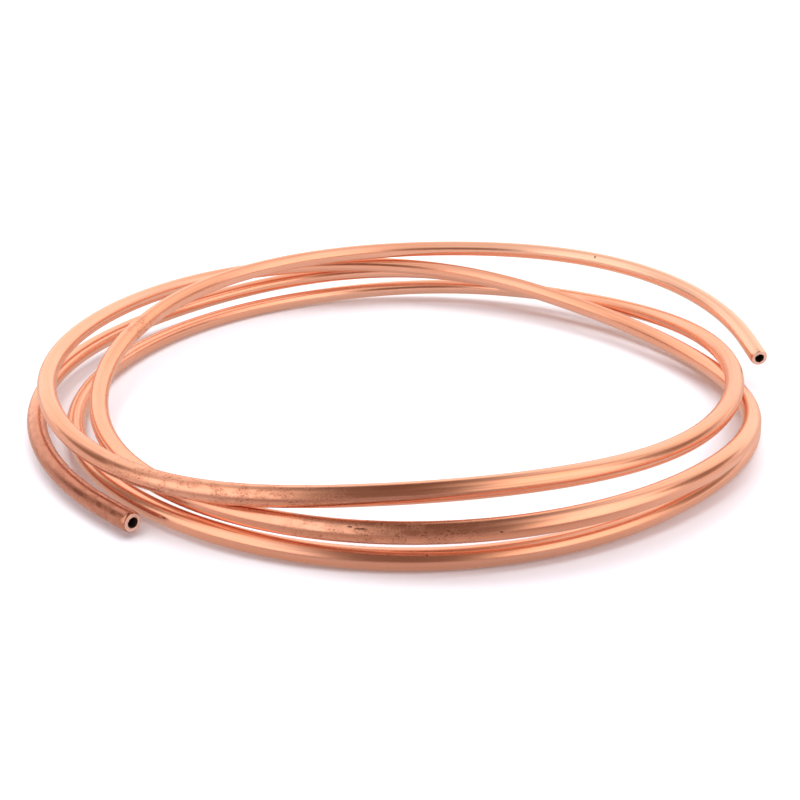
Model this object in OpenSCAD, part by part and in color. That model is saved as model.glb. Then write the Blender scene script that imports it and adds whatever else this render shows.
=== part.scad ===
// Coil of soft copper tube, laid loose on a level floor.
// Millimetres. Origin: middle of the coil's outline, on the floor. +Z up.
// +X and +Y are across the coil. The first end lies on the floor toward -X -Y.

/* [Tube] */
// outside diameter of the tube
tube_od = 6; // [4:0.5:16]
// bore diameter of the tube
bore_d = 3; // [1:0.1:5]
// rounding that the cutter wheel leaves on the outside edge of a cut end
end_round = 0.4; // [0.1:0.1:1]
// straight length at each cut end
end_length = 12; // [6:1:30]

/* [Coil] */
// mean diameter of the coil, to the middle of the tube
coil_d = 222; // [120:2:600]
// angle wound from one end to the other
wind_angle = 1305; // [1200:5:1320]
// bearing of the first cut end, from +X
start_bearing = 230.5; // [180:0.5:270]

/* [Lay of the turns] */
// how far the turns wander out and in, as a share of the lay below
wander = 1; // [1:0.05:1.3]
// how far the turns ride up on one another, as a share of the lay below
ride = 1; // [1:0.05:1.3]

/* [Hidden] */

$fn = 64;
// The lay is given in quarters of a tube diameter at stations this many degrees apart.
// Each list starts one station before the first end, and then has a line for each turn.
station = 30;
quarter = tube_od / 4;
// how far the middle of the tube lies outside the mean circle
outs = [2,
  6, 8, 11, 10, 7, 1, -2, -1, 0, -4, -3.5, -1.5,
  0, 1, 1, 2, 5, 6, 4, -1, -5.5, -8, -8.5, -5.5,
  2, 5.5, 8, 8, 4, -3, -8, -7, -2, 0, 1, -1,
  -3, -4, -5, -5, -3, 2, 8, 8, 2, -8];
// how high it lies above the floor
lifts = [3,
  3, 4, 4, 4, 8, 10, 4, 2, 2, 3, 2, 2,
  3, 3, 2, 2, 2, 4, 5, 9, 10.5, 10.5, 13, 13,
  9, 11, 11, 12, 12, 11, 7, 5, 6, 10, 9.5, 7.5,
  6, 6, 11, 15, 16, 16, 16.5, 13, 4, -1];

tube_r = tube_od / 2;
bore_r = bore_d / 2;
coil_r = coil_d / 2;
last_station = len(outs) - 4;
facet_step = 7.5;
outer_sides = 16;
inner_sides = 8;
// the swept wall sits a little inside the true ends, so that the two overlap cleanly
sweep_r = tube_r - 0.03;
sweep_bore_r = bore_r - 0.02;
overlap = 2;
// straight lead of the swept wall beyond each side of that overlap
lead = 1;

// smooth cubic blend through the station values v at s stations from the start
function blend(v, s) =
  let (k = min(max(floor(s), 0), last_station), t = s - k)
  (pow(1 - t, 3) * v[k]
    + (3 * pow(t, 3) - 6 * pow(t, 2) + 4) * v[k + 1]
    + (3 * t + 3 * pow(t, 2) - 3 * pow(t, 3) + 1) * v[k + 2]
    + pow(t, 3) * v[k + 3]) / 6;

// middle of the tube after w degrees of winding, before it is moved to the origin
function laid(w) =
  let (
    r = coil_r + quarter * wander * blend(outs, w / station),
    b = start_bearing - w)
  [r * cos(b), r * sin(b), quarter * ride * blend(lifts, w / station)];

walk = [for (w = [0 : 5 : wind_angle]) laid(w)];
xs = [for (p = walk) p[0]];
ys = [for (p = walk) p[1]];
zs = [for (p = walk) p[2]];
shift = [-(min(xs) + max(xs)) / 2, -(min(ys) + max(ys)) / 2, tube_r - min(zs)];

function middle(w) = laid(w) + shift;
function unit(v) = v / norm(v);
function along(w) = unit(laid(w + 0.5) - laid(w - 0.5));
function side(t) = unit(cross(t, [0, 0, 1]));

first_w = end_length / coil_r * 180 / PI;
last_w = wind_angle - first_w;
rings = ceil((last_w - first_w) / facet_step);

function ring_w(j) = first_w + (last_w - first_w) * j / rings;

// where each ring of the swept wall stands: degrees wound, and a straight step on from there
stops = [
  [first_w, -lead],
  [first_w, overlap + lead],
  for (j = [1 : rings - 1]) [ring_w(j), 0],
  [last_w, -overlap - lead],
  [last_w, lead]];

function ring(stop, r, n) =
  let (
    t = along(stop[0]),
    p = middle(stop[0]) + stop[1] * t,
    s = side(t),
    u = cross(s, t))
  [for (i = [0 : n - 1]) p + r * (cos(360 * i / n) * s + sin(360 * i / n) * u)];

// a hollow wall swept along the coil
module swept_wall() {
  n = outer_sides;
  m = inner_sides;
  outer = [for (stop = stops) each ring(stop, sweep_r, n)];
  inner = [for (stop = stops) each ring(stop, sweep_bore_r, m)];
  base = len(outer);
  last = len(stops) - 1;
  outer_faces = [for (j = [0 : last - 1]) for (i = [0 : n - 1])
    [j * n + i, j * n + (i + 1) % n, (j + 1) * n + (i + 1) % n, (j + 1) * n + i]];
  inner_faces = [for (j = [0 : last - 1]) for (i = [0 : m - 1])
    [base + j * m + i, base + (j + 1) * m + i,
      base + (j + 1) * m + (i + 1) % m, base + j * m + (i + 1) % m]];
  // two outer corners to each inner corner
  first_cap = [for (i = [0 : m - 1]) each [
    [2 * i + 1, 2 * i, base + i],
    [2 * i + 1, base + i, base + (i + 1) % m],
    [(2 * i + 2) % n, 2 * i + 1, base + (i + 1) % m]]];
  o = last * n;
  b = base + last * m;
  last_cap = [for (i = [0 : m - 1]) each [
    [o + 2 * i, o + 2 * i + 1, b + i],
    [o + 2 * i + 1, b + (i + 1) % m, b + i],
    [o + 2 * i + 1, o + (2 * i + 2) % n, b + (i + 1) % m]]];
  polyhedron(
    points = concat(outer, inner),
    faces = concat(outer_faces, inner_faces, first_cap, last_cap));
}

// a straight cut end: z = 0 where it joins the sweep, the cut face at z = end_length
module cut_end(w, way) {
  t = way * along(w);
  s = side(t);
  u = cross(s, t);
  p = middle(w);
  multmatrix([
    [s[0], u[0], t[0], p[0]],
    [s[1], u[1], t[1], p[1]],
    [s[2], u[2], t[2], p[2]],
    [0, 0, 0, 1]])
    difference() {
      union() {
        translate([0, 0, -overlap])
          cylinder(r = tube_r, h = overlap + end_length - end_round);
        translate([0, 0, end_length - end_round])
          cylinder(r1 = tube_r, r2 = tube_r - end_round, h = end_round);
      }
      translate([0, 0, -overlap - 1])
        cylinder(r = bore_r, h = overlap + end_length + 2);
    }
}

module copper_tube() {
  color([0.80, 0.50, 0.36])
    union() {
      swept_wall();
      cut_end(first_w, -1);
      cut_end(last_w, 1);
    }
}

copper_tube();
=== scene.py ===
"""Looks of a loose coil of soft copper tube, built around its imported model."""

import logging
import math
from dataclasses import dataclass
from enum import Enum
from typing import Any, Callable, Iterable, Sequence

import bpy
from mathutils import Matrix, Vector, noise

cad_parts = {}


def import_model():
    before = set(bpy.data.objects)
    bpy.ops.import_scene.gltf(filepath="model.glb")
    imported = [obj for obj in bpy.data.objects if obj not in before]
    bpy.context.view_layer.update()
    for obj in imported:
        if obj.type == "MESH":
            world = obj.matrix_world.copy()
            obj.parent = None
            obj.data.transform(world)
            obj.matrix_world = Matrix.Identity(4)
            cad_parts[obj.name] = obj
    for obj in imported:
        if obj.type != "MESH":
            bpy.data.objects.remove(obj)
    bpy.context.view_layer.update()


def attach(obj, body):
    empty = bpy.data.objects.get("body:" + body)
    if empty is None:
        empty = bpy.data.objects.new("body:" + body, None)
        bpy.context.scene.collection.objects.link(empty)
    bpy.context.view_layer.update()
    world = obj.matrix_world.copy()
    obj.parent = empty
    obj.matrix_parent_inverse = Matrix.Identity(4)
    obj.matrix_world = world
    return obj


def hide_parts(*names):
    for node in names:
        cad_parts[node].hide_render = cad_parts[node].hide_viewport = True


LOG = logging.getLogger("copper_coil")
MM = 0.001
COIL_NODE = "copper_tube"
STOCK = "stock"
TUBE_R = 3.0 * MM

Colour = tuple[float, float, float]
Triple = tuple[float, float, float]


class Wall(Enum):
    """The kinds of surface on the tube, in the order of its material slots."""

    OUTSIDE = 0
    CUT_FACE = 1
    BORE = 2


# ---------------------------------------------------------------- shader tools


class Wire:
    """A shader socket that takes part in Python arithmetic."""

    def __init__(self, graph: "Graph", socket: bpy.types.NodeSocket) -> None:
        """Keeps the socket with the graph that it belongs to."""
        self.graph = graph
        self.socket = socket

    def _math(self, kind: str, other: Any) -> "Wire":
        """Adds a Math node.

        Args:
            kind: the Math node's operation.
            other: its second value, a number or a wire.

        Returns:
            The node's result.
        """
        return self.graph.math(kind, self, other)

    def __add__(self, other: Any) -> "Wire":
        """This wire plus a number or a wire."""
        return self._math("ADD", other)

    def __sub__(self, other: Any) -> "Wire":
        """This wire less a number or a wire."""
        return self._math("SUBTRACT", other)

    def __mul__(self, other: Any) -> "Wire":
        """This wire times a number or a wire."""
        return self._math("MULTIPLY", other)

    def size(self) -> "Wire":
        """The wire without its sign."""
        return self._math("ABSOLUTE", 0.0)

    def ramp(self, low: float, high: float) -> "Wire":
        """A smooth step from 0 to 1.

        Args:
            low: the value that gives 0.
            high: the value that gives 1, which may be under low.

        Returns:
            The stepped wire.
        """
        settings = {"interpolation_type": "SMOOTHSTEP", "clamp": True}
        inputs = {"Value": self, "From Min": low, "From Max": high}
        return self.graph.add("ShaderNodeMapRange", settings, inputs)


class Graph:
    """Builds the node tree of one material or of the world."""

    def __init__(self, owner: bpy.types.Material | bpy.types.World) -> None:
        """Starts an empty tree in a material or world."""
        owner.use_nodes = True
        self.owner = owner
        self.tree = owner.node_tree
        self.tree.nodes.clear()

    @classmethod
    def material(cls, name: str) -> "Graph":
        """Starts a new material of that name."""
        return cls(bpy.data.materials.new(name))

    @classmethod
    def world(cls, name: str) -> "Graph":
        """Starts a new world of that name."""
        return cls(bpy.data.worlds.new(name))

    def node(
        self,
        kind: str,
        settings: dict[str, Any] | None = None,
        inputs: dict[Any, Any] | None = None,
    ) -> bpy.types.Node:
        """Adds a node, sets it up and fills its sockets.

        Args:
            kind: the node's type.
            settings: the node's own settings, set first.
            inputs: a value or a wire for each named or numbered socket.

        Returns:
            The node.
        """
        made = self.tree.nodes.new(kind)
        for name, value in (settings or {}).items():
            setattr(made, name, value)
        for key, value in (inputs or {}).items():
            socket = made.inputs[key]
            if isinstance(value, Wire):
                self.tree.links.new(value.socket, socket)
            elif isinstance(value, tuple) and socket.type == "RGBA":
                socket.default_value = (*value, 1.0)
            else:
                socket.default_value = value
        return made

    def add(
        self,
        kind: str,
        settings: dict[str, Any] | None = None,
        inputs: dict[Any, Any] | None = None,
        out: Any = 0,
    ) -> Wire:
        """Adds a node and gives one of its results.

        Args:
            kind: the node's type.
            settings: the node's own settings.
            inputs: a value or a wire for each socket.
            out: the name or number of the result.

        Returns:
            That result as a wire.
        """
        return Wire(self, self.node(kind, settings, inputs).outputs[out])

    def math(self, kind: str, first: Any, second: Any = 0.0) -> Wire:
        """Adds a Math node.

        Args:
            kind: its operation.
            first: its first value, a number or a wire.
            second: its second value, if the operation has one.

        Returns:
            The result.
        """
        return self.add("ShaderNodeMath", {"operation": kind}, {0: first, 1: second})

    def length(self, vector: Wire) -> Wire:
        """The length of a vector."""
        settings = {"operation": "LENGTH"}
        return self.add("ShaderNodeVectorMath", settings, {0: vector}, "Value")

    def axes(self, vector: Wire) -> list[Wire]:
        """The three parts of a vector."""
        split = self.node("ShaderNodeSeparateXYZ", None, {0: vector})
        return [Wire(self, part) for part in split.outputs]

    def stock(self) -> Wire:
        """Each point's place on the straight tube, in metres."""
        settings = {"attribute_type": "GEOMETRY", "attribute_name": STOCK}
        return self.add("ShaderNodeAttribute", settings, None, "Vector")

    def patch(self, middle: Sequence[float], reach: Sequence[float], core: float) -> Wire:
        """A soft-edged rectangle on a level sheet.

        Args:
            middle: its middle along X and Y, in metres.
            reach: how far it goes to each side of that.
            core: the share of the reach that is full.

        Returns:
            1 inside it, falling to 0 at its reach.
        """
        place = self.axes(self.add("ShaderNodeTexCoord", None, None, "Object"))
        masks = []
        for axis in range(2):
            away = (place[axis] - middle[axis]).size()
            masks.append(away.ramp(reach[axis], reach[axis] * core))
        return masks[0] * masks[1]

    def bump(self, height: Wire) -> Wire:
        """Turns a height in millimetres into a bumped normal."""
        inputs = {"Strength": 1.0, "Distance": MM, "Height": height}
        return self.add("ShaderNodeBump", None, inputs)

    def stretched(self, where: Wire, scale: Triple, shift: float = 0.0) -> Wire:
        """A place vector with its own scale each way.

        Args:
            where: the vector in metres.
            scale: how many cells a metre, each way.
            shift: a move that picks another part of the pattern.

        Returns:
            The scaled vector.
        """
        inputs = {"Vector": where, "Location": (shift, shift, shift), "Scale": scale}
        return self.add("ShaderNodeMapping", None, inputs)

    def noise(self, where: Wire, detail: float) -> Wire:
        """Soft noise of about one cell in size.

        Args:
            where: the place vector, already scaled.
            detail: how many finer layers it has, each about half as strong.

        Returns:
            The noise, about 0.5 on average.
        """
        inputs = {"Vector": where, "Scale": 1.0, "Detail": detail, "Roughness": 0.55}
        return self.add("ShaderNodeTexNoise", None, inputs)

    def mix(self, share: Any, first: Any, second: Any) -> Wire:
        """A colour between two others.

        Args:
            share: 0 for the first, 1 for the second.
            first: a colour or a wire.
            second: a colour or a wire.

        Returns:
            The mixed colour.
        """
        settings = {"data_type": "RGBA", "clamp_factor": True}
        inputs = {0: share, 6: first, 7: second}
        return self.add("ShaderNodeMix", settings, inputs, 2)

    def finish(self, shader: dict[str, Any]) -> bpy.types.Material:
        """Closes the tree with a Principled shader.

        Args:
            shader: a value or a wire for each of its sockets.

        Returns:
            The material.
        """
        body = self.add("ShaderNodeBsdfPrincipled", None, shader)
        self.node("ShaderNodeOutputMaterial", None, {"Surface": body})
        return self.owner


# ---------------------------------------------------------------- finishes


@dataclass(frozen=True)
class Stretch:
    """A stretch of the tube, in metres from the first end, and how strong its look is."""

    middle: float
    reach: float
    strength: float = 1.0

    def mask(self, along: Wire) -> Wire:
        """How much of the look is at each place.

        Args:
            along: the distance from the first end.

        Returns:
            Its strength in the middle, fading to 0 at its reach.
        """
        core = self.reach * 0.4
        return (along - self.middle).size().ramp(self.reach, core) * self.strength


@dataclass(frozen=True)
class Grain:
    """Soft noise laid on the straight tube, in cells a metre along it and across it."""

    along: float
    across: float
    shift: float
    detail: float

    def lay(self, graph: Graph, stock: Wire) -> Wire:
        """Lays the noise.

        Args:
            graph: the material's graph.
            stock: each point's place on the straight tube.

        Returns:
            The noise, about 0.5 on average.
        """
        scale = (self.along, self.across, self.across)
        return graph.noise(graph.stretched(stock, scale, self.shift), self.detail)


@dataclass(frozen=True)
class Nick:
    """A small dark mark at one place on the tube.

    It lies so many metres from the first end, and so many degrees round from the tube's
    outer side, over the top. Its length and width are in millimetres.
    """

    along: float
    turn: float
    length: float
    width: float

    def mask(self, graph: Graph, stock: Wire) -> Wire:
        """Where the mark is.

        Args:
            graph: the material's graph.
            stock: each point's place on the straight tube.

        Returns:
            1 in the middle of the mark, 0 from its edge outward.
        """
        angle = math.radians(self.turn)
        middle = (self.along, -TUBE_R * math.cos(angle), TUBE_R * math.sin(angle))
        inputs = {0: stock, 1: middle}
        apart = graph.add("ShaderNodeVectorMath", {"operation": "SUBTRACT"}, inputs)
        scale = (2 / (self.length * MM), 2 / (self.width * MM), 2 / (self.width * MM))
        return graph.length(graph.stretched(apart, scale)).ramp(1.0, 0.55)


@dataclass(frozen=True)
class DrawnCopper:
    """Soft drawn copper: salmon metal with long streaks, clouding and rubbed places."""

    salmon: Colour = (0.93, 0.56, 0.42)
    pink: Colour = (0.94, 0.61, 0.49)
    amber: Colour = (0.88, 0.47, 0.29)
    oxide: Colour = (0.42, 0.19, 0.124)
    # painted shade: the colour of the browner stretches, which stand in for dark reflected
    # bands
    shade_brown: Colour = (0.5, 0.25, 0.195)
    soot: Colour = (0.10, 0.05, 0.035)
    # painted sheen: the colour of the paler stretches
    sheen_peach: Colour = (0.97, 0.74, 0.63)
    lines: Grain = Grain(11.0, 1500.0, 0.0, 3.0)
    bands: Grain = Grain(5.0, 420.0, 3.1, 2.0)
    clouds: Grain = Grain(28.0, 210.0, 7.7, 4.0)
    specks: Grain = Grain(1500.0, 2300.0, 0.0, 2.0)
    flecks: Grain = Grain(260.0, 420.0, 1.3, 3.0)
    # how much of the rubbed look there is all along the tube
    handled: float = 0.03
    # browner stretches of painted shade, standing in for dark reflected bands; the
    # strongest covers the first end
    painted_shade_stretches: tuple[Stretch, ...] = (
        Stretch(0.0, 0.115, 0.90),
        Stretch(0.655, 0.075, 0.08),
        Stretch(1.20, 0.05, 0.15),
        Stretch(1.42, 0.07, 0.10),
        Stretch(2.09, 0.04, 0.12),
    )
    # paler stretches of painted sheen, standing in for brighter reflection, which also
    # evens out a reflected red band
    painted_sheen_stretches: tuple[Stretch, ...] = (
        Stretch(1.02, 0.12, 0.3),
        Stretch(1.58, 0.10, 0.2),
        Stretch(2.49, 0.14, 0.75),
    )
    rubbed: tuple[Stretch, ...] = (
        Stretch(0.008, 0.016),
        Stretch(0.05, 0.05, 0.8),
        Stretch(1.395, 0.05),
        Stretch(2.055, 0.035),
        Stretch(2.24, 0.012),
    )
    nicks: tuple[Nick, ...] = (
        Nick(0.644, 132, 1.0, 0.9),
        Nick(2.024, 168, 1.1, 0.8),
        Nick(2.058, 138, 4.4, 0.5),
        Nick(2.061, 131, 1.6, 0.5),
        Nick(2.455, 42, 0.9, 1.4),
    )

    def _spread(self, along: Wire, stretches: Iterable[Stretch], base: float) -> Wire:
        """Lays a look over several stretches.

        Args:
            along: the distance from the first end.
            stretches: where the look is.
            base: how much of it there is all along the tube.

        Returns:
            How much of it each place has.
        """
        share: Any = base
        for stretch in stretches:
            share = stretch.mask(along) + share
        return share

    def _nicked(self, graph: Graph, stock: Wire, grain: Wire) -> Wire:
        """How much of a dark mark is at each place.

        Args:
            graph: the material's graph.
            stock: each point's place on the straight tube.
            grain: fine noise that breaks up the marks' edges.

        Returns:
            0 on clean metal, toward 1 in a mark.
        """
        marked: Any = 0.0
        for nick in self.nicks:
            marked = nick.mask(graph, stock) + marked
        return marked * grain.ramp(0.30, 0.52)

    def make(self) -> bpy.types.Material:
        """Builds the material.

        Returns:
            The finished material.
        """
        graph = Graph.material("drawn_copper")
        stock = graph.stock()
        along = graph.axes(stock)[0]
        lines = self.lines.lay(graph, stock)
        bands = self.bands.lay(graph, stock)
        clouds = self.clouds.lay(graph, stock)
        specks = self.specks.lay(graph, stock)
        flecks = self.flecks.lay(graph, stock)
        worn = self._spread(along, self.rubbed, self.handled) * flecks.ramp(0.42, 0.58)
        pits = specks.ramp(0.52, 0.66) * worn
        nicked = self._nicked(graph, stock, specks)

        # the metal's own colour, then streaks, painted sheen on paler stretches, painted
        # shade on browner stretches, and marks
        tint = graph.mix(clouds.ramp(0.38, 0.66), self.salmon, self.pink)
        tint = graph.mix(bands.ramp(0.52, 0.72) * 0.45, tint, self.amber)
        tint = graph.mix(lines.ramp(0.54, 0.76) * 0.34, tint, self.oxide)
        # painted sheen: paler stretches stand in for brighter reflection
        tint = graph.mix(self._spread(along, self.painted_sheen_stretches, 0.0), tint, self.sheen_peach)
        # painted shade: these stretches are turned browner where the metal should mirror
        # dark bands
        painted_shade_share = self._spread(along, self.painted_shade_stretches, 0.0)
        tint = graph.mix(painted_shade_share * (clouds * 0.7 + 0.6), tint, self.shade_brown)
        tint = graph.mix(pits * 0.7 + worn * 0.12, tint, self.oxide)
        tint = graph.mix(nicked * 0.9, tint, self.soot)

        rough = lines * 0.14 + bands * 0.14 + worn * 0.10 + 0.08
        height = bands * 0.045 + lines * 0.015 + specks * worn * 0.010 - pits * 0.006
        height = height - nicked * 0.05
        return graph.finish(
            {
                "Base Color": tint,
                "Metallic": 1.0,
                "Roughness": rough,
                "Normal": graph.bump(height),
            }
        )


@dataclass(frozen=True)
class SawnCopper:
    """The fresh metal of a cut end: bright, pink and ringed by the cutter."""

    bright: Colour = (0.95, 0.76, 0.71)
    ringed: Colour = (0.78, 0.45, 0.35)
    grit: Grain = Grain(2500.0, 2500.0, 0.0, 3.0)
    # radians of the rings' wave for each metre out from the middle
    ring_rate: float = 26000.0

    def make(self) -> bpy.types.Material:
        """Builds the material.

        Returns:
            The finished material.
        """
        graph = Graph.material("sawn_copper")
        stock = graph.stock()
        radius = graph.length(graph.stretched(stock, (0.0, 1.0, 1.0)))
        grit = self.grit.lay(graph, stock)
        rings = graph.math("SINE", radius * self.ring_rate + grit * 3.0)
        cut = rings.ramp(-0.4, 1.0)
        tint = graph.mix(cut * 0.5 + grit.ramp(0.5, 0.7) * 0.4, self.bright, self.ringed)
        return graph.finish(
            {
                "Base Color": tint,
                "Metallic": 0.85,
                "Roughness": grit * 0.25 + 0.35,
                "Normal": graph.bump(cut * 0.02 + grit * 0.05),
            }
        )


@dataclass(frozen=True)
class PaintedShadeBore:
    """The wall of the bore: dark, a painted shade for the unlit inside of the hole."""

    dark: Colour = (0.030, 0.014, 0.010)
    shade_brown: Colour = (0.075, 0.034, 0.021)
    shade_mottle: Grain = Grain(300.0, 900.0, 0.0, 3.0)

    def make(self) -> bpy.types.Material:
        """Builds the material.

        Returns:
            The finished material.
        """
        graph = Graph.material("painted_shade_bore")
        shade_mottle = self.shade_mottle.lay(graph, graph.stock())
        return graph.finish(
            {
                # painted shade: near-black and mottled, for the unlit inside of the hole
                "Base Color": graph.mix(shade_mottle.ramp(0.4, 0.7), self.dark, self.shade_brown),
                "Metallic": 0.3,
                "Roughness": shade_mottle * 0.3 + 0.55,
            }
        )


@dataclass(frozen=True)
class PaleFloor:
    """A plain pale studio floor, with a painted shadow that can darken it just in front of
    the coil.
    """

    name: str
    pale: Colour
    # the painted shadow's colour
    dim: Colour
    shadow_middle: tuple[float, float] = (0.0, -0.32)
    shadow_reach: tuple[float, float] = (0.17, 0.24)

    def make(self) -> bpy.types.Material:
        """Builds the material.

        Returns:
            The finished material.
        """
        graph = Graph.material(self.name)
        # painted shadow: a soft patch darkens the floor in front of the coil
        shade = graph.patch(self.shadow_middle, self.shadow_reach, 0.6)
        tint = graph.mix(shade, self.pale, self.dim)
        return graph.finish(
            {"Base Color": tint, "Roughness": 0.75, "Specular IOR Level": 0.2}
        )


# ---------------------------------------------------------------- modelling tools


def clear_selection() -> None:
    """Leaves object mode with nothing selected."""
    if bpy.context.object and bpy.context.object.mode != "OBJECT":
        bpy.ops.object.mode_set(mode="OBJECT")
    bpy.ops.object.select_all(action="DESELECT")


def pick(thing: bpy.types.Object) -> None:
    """Selects one object alone and makes it the active one."""
    clear_selection()
    thing.select_set(True)
    bpy.context.view_layer.objects.active = thing


def select_edges(
    thing: bpy.types.Object, wanted: Callable[[Vector, Vector], bool]
) -> None:
    """Selects edges by the places of their two ends, and ends in edit mode.

    Args:
        thing: the object whose mesh is selected from.
        wanted: says whether an edge between two points is taken.
    """
    bpy.ops.object.mode_set(mode="EDIT")
    bpy.ops.mesh.select_mode(type="EDGE")
    bpy.ops.mesh.select_all(action="DESELECT")
    bpy.ops.object.mode_set(mode="OBJECT")
    mesh = thing.data
    for edge in mesh.edges:
        first, second = (mesh.vertices[i].co for i in edge.vertices)
        edge.select = wanted(first, second)
    bpy.ops.object.mode_set(mode="EDIT")


# ---------------------------------------------------------------- the coil


@dataclass(frozen=True)
class Lay:
    """How the turns lie: the same route as the model's, in metres.

    The lists are in quarters of a tube diameter at stations round the coil. Each
    starts one station before the first end, and then has a line for each turn.
    """

    tube_d: float = 2 * TUBE_R
    coil_d: float = 222 * MM
    wind_angle: float = 1305.0
    start_bearing: float = 230.5
    end_length: float = 12 * MM
    station: float = 30.0
    outs: tuple[float, ...] = (
        *(2,),
        *(6, 8, 11, 10, 7, 1, -2, -1, 0, -4, -3.5, -1.5),
        *(0, 1, 1, 2, 5, 6, 4, -1, -5.5, -8, -8.5, -5.5),
        *(2, 5.5, 8, 8, 4, -3, -8, -7, -2, 0, 1, -1),
        *(-3, -4, -5, -5, -3, 2, 8, 8, 2, -8),
    )
    lifts: tuple[float, ...] = (
        *(3,),
        *(3, 4, 4, 4, 8, 10, 4, 2, 2, 3, 2, 2),
        *(3, 3, 2, 2, 2, 4, 5, 9, 10.5, 10.5, 13, 13),
        *(9, 11, 11, 12, 12, 11, 7, 5, 6, 10, 9.5, 7.5),
        *(6, 6, 11, 15, 16, 16, 16.5, 13, 4, -1),
    )

    def _blend(self, values: Sequence[float], stations: float) -> float:
        """Blends the station values smoothly.

        Args:
            values: one value for each station.
            stations: how many stations on from the first end.

        Returns:
            The value there.
        """
        k = min(max(math.floor(stations), 0), len(values) - 4)
        t = stations - k
        weights = (
            (1 - t) ** 3,
            3 * t**3 - 6 * t**2 + 4,
            3 * t + 3 * t**2 - 3 * t**3 + 1,
            t**3,
        )
        return sum(w * v for w, v in zip(weights, values[k : k + 4])) / 6

    def _laid(self, wound: float) -> Vector:
        """The tube's middle before the coil is moved to the origin.

        Args:
            wound: degrees wound from the first end.

        Returns:
            The point in metres.
        """
        quarter = self.tube_d / 4
        stations = wound / self.station
        radius = self.coil_d / 2 + quarter * self._blend(self.outs, stations)
        bearing = math.radians(self.start_bearing - wound)
        height = quarter * self._blend(self.lifts, stations)
        return Vector((radius * math.cos(bearing), radius * math.sin(bearing), height))

    def _shift(self) -> Vector:
        """The move that brings the coil to the origin and down to the floor."""
        walk = [self._laid(w) for w in range(0, int(self.wind_angle) + 1, 5)]
        xs, ys, zs = zip(*walk)
        return Vector(
            (
                -(min(xs) + max(xs)) / 2,
                -(min(ys) + max(ys)) / 2,
                self.tube_d / 2 - min(zs),
            )
        )

    def _along(self, wound: float) -> Vector:
        """The direction of the tube at a place."""
        return (self._laid(wound + 0.5) - self._laid(wound - 0.5)).normalized()

    def route(self, step: float = 1.0) -> list[Vector]:
        """The middle of the tube from one cut face to the other.

        Args:
            step: degrees wound between points.

        Returns:
            The points in metres, with a straight end at each side.
        """
        shift = self._shift()
        first = math.degrees(self.end_length / (self.coil_d / 2))
        last = self.wind_angle - first
        count = math.ceil((last - first) / step)
        turns = [first + (last - first) * i / count for i in range(count + 1)]
        points = [self._laid(w) + shift for w in turns]
        lead, tail = self._along(first), self._along(last)
        straight = (1.0, 0.75, 0.5, 0.25)
        before = [points[0] - lead * self.end_length * s for s in straight]
        after = [points[-1] + tail * self.end_length * s for s in reversed(straight)]
        return before + points + after


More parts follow.
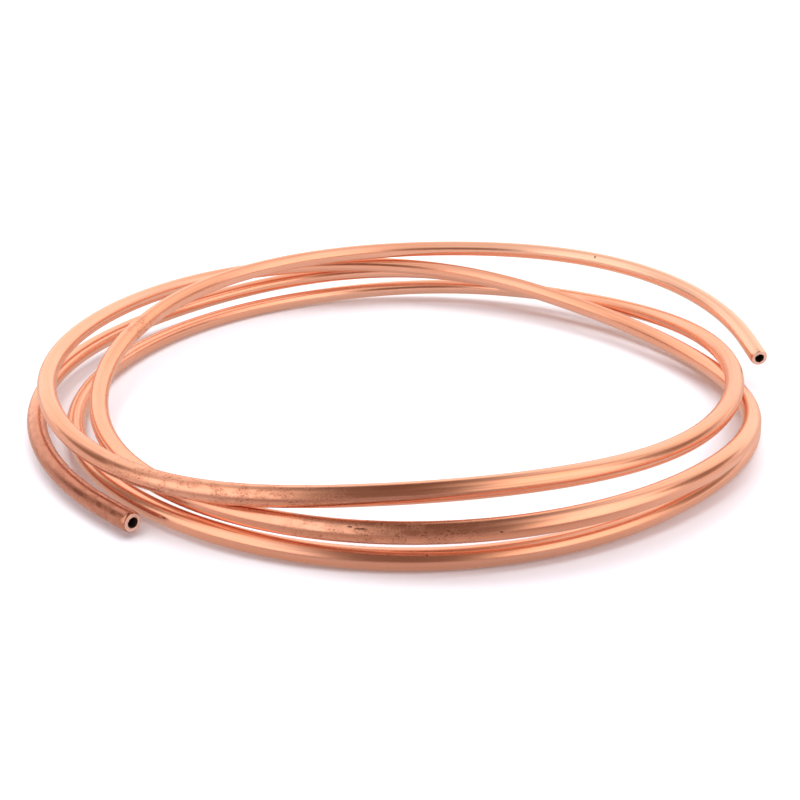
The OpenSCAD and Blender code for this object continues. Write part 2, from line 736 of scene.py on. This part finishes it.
@dataclass
class CopperTube:
    """The tube itself: a straight length is turned, then bent along its route."""

    lay: Lay = Lay()
    bore_r: float = 1.5 * MM
    sides: int = 40
    # the long faces are cut into this many, and each of those into as many again
    ring_split: int = 30
    # how far the mouth is worn out of round, and the tube by its winding
    ragged: float = 0.17 * MM
    oval: float = 0.035 * MM
    # the cut end's section, as distance in from the cut face and radius
    mouth: tuple[tuple[float, float], ...] = (
        (4.0 * MM, 1.50 * MM),
        (0.9 * MM, 1.50 * MM),
        (0.35 * MM, 1.50 * MM),
        (0.06 * MM, 1.53 * MM),
        (0.00 * MM, 1.60 * MM),
        (0.05 * MM, 1.75 * MM),
        (0.07 * MM, 2.15 * MM),
        (0.03 * MM, 2.42 * MM),
        (0.04 * MM, 2.56 * MM),
        (0.14 * MM, 2.70 * MM),
        (0.32 * MM, 2.79 * MM),
        (0.60 * MM, 2.88 * MM),
        (1.00 * MM, 2.96 * MM),
        (1.80 * MM, TUBE_R),
    )

    def _section(self, length: float) -> list[tuple[float, float]]:
        """The wall's section, once round from the bore at the first end.

        Args:
            length: the tube's length from face to face.

        Returns:
            Distance from the first cut face and radius for each corner.
        """
        first = list(self.mouth)
        last = [(length - x, r) for x, r in reversed(self.mouth)]
        return first + last

    def _turn(self, length: float) -> bpy.types.Object:
        """Turns the straight tube: a ring is extruded round the wall's section.

        Args:
            length: the tube's length from face to face.

        Returns:
            The straight tube, along X from the first cut face.
        """
        section = self._section(length)
        x, radius = section[0]
        clear_selection()
        bpy.ops.mesh.primitive_circle_add(
            vertices=self.sides,
            radius=radius,
            fill_type="NOTHING",
            location=(x, 0, 0),
            rotation=(0, math.pi / 2, 0),
        )
        tube = bpy.context.object
        bpy.ops.object.transform_apply(location=True, rotation=True, scale=True)
        bpy.ops.object.mode_set(mode="EDIT")
        bpy.ops.mesh.select_all(action="SELECT")
        for next_x, next_radius in [*section[1:], section[0]]:
            bpy.ops.mesh.extrude_region_move(
                TRANSFORM_OT_translate={"value": (next_x - x, 0, 0)}
            )
            grow = next_radius / radius
            bpy.ops.transform.resize(
                value=(1, grow, grow), center_override=(next_x, 0, 0)
            )
            x, radius = next_x, next_radius
        bpy.ops.mesh.select_all(action="SELECT")
        bpy.ops.mesh.remove_doubles(threshold=0.01 * MM)
        shortest = 0.9 * (length - 2 * self.mouth[0][0])
        for _ in range(2):
            select_edges(tube, lambda a, b: abs(a.x - b.x) > shortest)
            bpy.ops.mesh.subdivide(number_cuts=self.ring_split - 1)
            shortest /= self.ring_split
        bpy.ops.mesh.select_all(action="SELECT")
        bpy.ops.mesh.normals_make_consistent(inside=False)
        bpy.ops.object.mode_set(mode="OBJECT")
        return tube

    def _face(self, tube: bpy.types.Object, length: float) -> None:
        """Gives each face its kind of surface, by its place.

        Args:
            tube: the straight tube.
            length: its length from face to face.
        """
        bore_edge, lip = 1.05 * self.bore_r, 0.02 * MM
        rim, face_depth = 2.60 * MM, 0.10 * MM
        for face in tube.data.polygons:
            middle = face.center
            radius = math.hypot(middle.y, middle.z)
            depth = min(middle.x, length - middle.x)
            if radius < bore_edge and depth > lip:
                kind = Wall.BORE
            elif radius < rim and depth < face_depth:
                kind = Wall.CUT_FACE
            else:
                kind = Wall.OUTSIDE
            face.material_index = kind.value

    def _mark_stock(self, tube: bpy.types.Object) -> None:
        """Keeps each point's place on the straight tube, which its patterns follow."""
        mesh = tube.data
        places = [0.0] * (3 * len(mesh.vertices))
        mesh.vertices.foreach_get("co", places)
        kept = mesh.attributes.new(STOCK, "FLOAT_VECTOR", "POINT")
        kept.data.foreach_set("vector", places)

    def _work(self, tube: bpy.types.Object, length: float) -> None:
        """Gives the straight tube its small faults: a ragged mouth and a soft oval.

        Args:
            tube: the straight tube.
            length: its length from face to face.
        """
        mouth_r, mouth_depth = 1.8 * MM, 0.7 * MM
        skin_r, true_end = 2.9 * MM, 8 * MM
        for vertex in tube.data.vertices:
            x, y, z = vertex.co
            radius = math.hypot(y, z)
            depth = min(x, length - x)
            out = Vector((0, y, z)) / radius
            if radius < mouth_r and depth < mouth_depth:
                seed = out * 2.3 + Vector((9.0 if x > length / 2 else 0.0, 0, 0))
                vertex.co += out * self.ragged * noise.noise(seed)
            if radius > skin_r:
                wave = noise.noise(Vector((x * 9.0, out.y * 0.9, out.z * 0.9)))
                fade = min(1.0, depth / true_end)
                vertex.co += out * self.oval * fade * (wave - 0.3)

    def _guide(self, points: Iterable[Vector]) -> bpy.types.Object:
        """Makes the line that the tube is bent along.

        Args:
            points: the route from face to face.

        Returns:
            The curve object.
        """
        places = list(points)
        curve = bpy.data.curves.new("route", "CURVE")
        curve.dimensions = "3D"
        curve.twist_mode = "Z_UP"
        spline = curve.splines.new("POLY")
        spline.points.add(len(places) - 1)
        for point, place in zip(spline.points, places):
            point.co = (*place, 1.0)
        guide = bpy.data.objects.new("route", curve)
        bpy.context.scene.collection.objects.link(guide)
        return guide

    def build(self) -> bpy.types.Object:
        """Turns the straight tube, bends it and sets it in place.

        Returns:
            The finished tube, riding on the model's body.
        """
        points = self.lay.route()
        length = sum((b - a).length for a, b in zip(points, points[1:]))
        tube = self._turn(length)
        tube.name = tube.data.name = "copper_coil"
        self._face(tube, length)
        self._mark_stock(tube)
        self._work(tube, length)
        guide = self._guide(points)
        pick(tube)
        bend = tube.modifiers.new("bend", "CURVE")
        bend.object = guide
        bend.deform_axis = "POS_X"
        bpy.context.view_layer.update()
        bpy.ops.object.modifier_apply(modifier=bend.name)
        bpy.data.objects.remove(guide)
        bpy.ops.object.shade_smooth_by_angle(angle=math.radians(40))
        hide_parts(COIL_NODE)
        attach(tube, "root")
        LOG.info("%s: %.3f m long, %d faces", tube.name, length, len(tube.data.polygons))
        return tube

    def dress(self, tube: bpy.types.Object) -> None:
        """Gives the tube its finishes, in the order of its kinds of surface."""
        for finish in (DrawnCopper(), SawnCopper(), PaintedShadeBore()):
            tube.data.materials.append(finish.make())


# ---------------------------------------------------------------- the studio


@dataclass(frozen=True)
class SoftBox:
    """A soft light, or a dim gap between lights, in a patch of the surround.

    Leans are degrees to the right of the camera's upright plane. Climbs are degrees up
    from the far horizon, on over the top and down to the near one at 180.
    """

    leans: tuple[float, float]
    climbs: tuple[float, float]
    soft: float
    glow: Colour

    def light(self, lean: Wire, climb: Wire) -> tuple[Wire, Colour]:
        """How much of the light is seen in each direction.

        Args:
            lean: the direction's lean in degrees.
            climb: the direction's climb in degrees.

        Returns:
            A mask from 0 to 1 and the light's colour.
        """
        middle = sum(self.leans) / 2
        wide = (self.leans[1] - self.leans[0]) / 2
        level = sum(self.climbs) / 2
        tall = (self.climbs[1] - self.climbs[0]) / 2
        across = (lean - middle).size().ramp(wide + self.soft, wide - self.soft)
        upright = (climb - level).size().ramp(tall + self.soft, tall - self.soft)
        return across * upright, self.glow


@dataclass(frozen=True)
class GlowCard:
    """A thin bright card behind the coil, half seen through, that the metal mirrors."""

    glow: Colour = (1.3, 0.96, 0.78)
    middle: Triple = (0.0, 0.19, 0.10)
    reach: tuple[float, float] = (0.30, 0.24)
    strength: float = 0.62

    def make(self) -> bpy.types.Material:
        """Builds the material.

        Returns:
            The finished material.
        """
        graph = Graph.material("bright_card")
        cover = graph.patch(self.middle, self.reach, 0.75) * self.strength
        clear = graph.add("ShaderNodeBsdfTransparent")
        lit = graph.add("ShaderNodeEmission", None, {"Color": self.glow})
        mixed = graph.add("ShaderNodeMixShader", None, {0: cover, 1: clear, 2: lit})
        graph.node("ShaderNodeOutputMaterial", None, {"Surface": mixed})
        return graph.owner

    def build(self) -> None:
        """Hangs the card, which only the metal mirrors."""
        clear_selection()
        bpy.ops.mesh.primitive_plane_add(size=2, location=self.middle)
        card = bpy.context.object
        card.name = "bright_card"
        bpy.ops.transform.resize(value=(*self.reach, 1))
        bpy.ops.object.transform_apply(location=True, rotation=False, scale=True)
        card.data.materials.append(self.make())
        card.visible_camera = False
        card.visible_diffuse = False
        card.visible_shadow = False


@dataclass(frozen=True)
class Studio:
    """A pale floor, soft light all round and the camera."""

    camera_place: Triple = (-1.9 * MM, -375.3 * MM, 157.3 * MM)
    camera_pitch: float = 22.71
    camera_roll: float = 0.22
    lens: float = 53.23
    floor_size: float = 24.0
    # the seen floor: pale, with a painted grey shadow in front of the coil
    shown_floor: PaleFloor = PaleFloor(
        "shown_floor", (0.92, 0.92, 0.94), (0.80, 0.785, 0.81)
    )
    # mirrored floor: painted shade, darker and warmer than the seen floor, standing in for
    # the shaded floor round the tubes, with a painted darker patch in front
    mirrored_floor: PaleFloor = PaleFloor(
        "mirrored_floor", (0.64, 0.48, 0.39), (0.28, 0.165, 0.125)
    )
    surround: Colour = (0.86, 0.63, 0.52)
    haze: Colour = (0.97, 0.98, 1.06)
    backdrop: Colour = (1.0, 0.99, 0.985)
    boxes: tuple[SoftBox, ...] = (
        SoftBox((-64, 64), (-20, 60), 9.0, (1.3, 0.98, 0.81)),
        SoftBox((-74, -22), (84, 200), 8.0, (1.48, 1.12, 0.92)),
        SoftBox((22, 76), (84, 200), 8.0, (1.55, 1.12, 0.86)),
        SoftBox((-86, -60), (14, 50), 8.0, (0.36, 0.214, 0.157)),
        SoftBox((-86, -45), (46, 98), 9.0, (0.27, 0.147, 0.102)),
        SoftBox((56, 88), (18, 106), 9.0, (0.31, 0.17, 0.119)),
        SoftBox((-18, 14), (46, 125), 9.0, (0.165, 0.079, 0.051)),
        SoftBox((-23, 26), (118, 215), 11.0, (0.215, 0.112, 0.076)),
    )
    card: GlowCard = GlowCard()
    overhead: float = 1.75
    overhead_size: float = 2.6

    def _floor(self, finish: PaleFloor) -> bpy.types.Object:
        """Lays one floor.

        Args:
            finish: the floor's finish, which names it too.

        Returns:
            The floor.
        """
        clear_selection()
        bpy.ops.mesh.primitive_plane_add(size=self.floor_size)
        floor = bpy.context.object
        floor.name = finish.name
        floor.data.materials.append(finish.make())
        floor.visible_shadow = False
        return floor

    def _floors(self) -> None:
        """Lays the floor that is seen and a dimmer, warmer one that only the metal
        mirrors, as painted shade.
        """
        shown = self._floor(self.shown_floor)
        shown.visible_glossy = False
        mirrored = self._floor(self.mirrored_floor)
        mirrored.visible_camera = False
        mirrored.visible_diffuse = False

    def _surround(self) -> None:
        """Sets the surround: dim, with soft lights, and pale where it is seen itself."""
        graph = Graph.world("studio")
        way = graph.add("ShaderNodeTexCoord", None, None, "Generated")
        x, y, z = graph.axes(way)
        lean = graph.math("ARCSINE", x) * math.degrees(1)
        climb = graph.math("ARCTAN2", z, y) * math.degrees(1)
        glow: Any = self.surround
        for box in self.boxes:
            mask, colour = box.light(lean, climb)
            glow = graph.mix(mask, glow, colour)
        ray = graph.node("ShaderNodeLightPath").outputs
        matt, seen = (Wire(graph, ray[f"Is {kind} Ray"]) for kind in ("Diffuse", "Camera"))
        glow = graph.mix(matt, glow, self.haze)
        lit = graph.add("ShaderNodeBackground", None, {"Color": glow})
        plain = graph.add("ShaderNodeBackground", None, {"Color": self.backdrop})
        mixed = graph.add("ShaderNodeMixShader", None, {0: seen, 1: lit, 2: plain})
        graph.node("ShaderNodeOutputWorld", None, {"Surface": mixed})
        bpy.context.scene.world = graph.owner
        bpy.context.scene.view_settings.view_transform = "Standard"

    def _overhead(self) -> None:
        """Hangs a broad light over the floor, which the metal doesn't mirror."""
        lamp = bpy.data.lights.new("overhead", "AREA")
        lamp.size = self.overhead_size
        lamp.energy = self.overhead * 4 * self.overhead_size**2
        light = bpy.data.objects.new("overhead", lamp)
        light.location = (0, 0, self.overhead_size)
        light.visible_glossy = False
        light.visible_camera = False
        bpy.context.scene.collection.objects.link(light)

    def _camera(self) -> None:
        """Sets the camera."""
        data = bpy.data.cameras.new("camera")
        data.lens = self.lens
        data.sensor_width = 36.0
        data.clip_start, data.clip_end = 0.01, 60.0
        camera = bpy.data.objects.new("camera", data)
        bpy.context.scene.collection.objects.link(camera)
        tilt = Matrix.Rotation(math.radians(90 - self.camera_pitch), 4, "X")
        roll = Matrix.Rotation(math.radians(self.camera_roll), 4, "Z")
        camera.matrix_world = Matrix.Translation(self.camera_place) @ tilt @ roll
        bpy.context.scene.camera = camera

    def build(self) -> None:
        """Builds the studio."""
        self._floors()
        self._surround()
        self.card.build()
        self._overhead()
        self._camera()
        LOG.info("studio: %d soft lights", len(self.boxes))


def main() -> None:
    """Builds the coil and its studio."""
    logging.basicConfig(level=logging.INFO, format="%(name)s %(message)s")
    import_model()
    coil = CopperTube()
    tube = coil.build()
    coil.dress(tube)
    Studio().build()


if __name__ == "__main__":
    main()
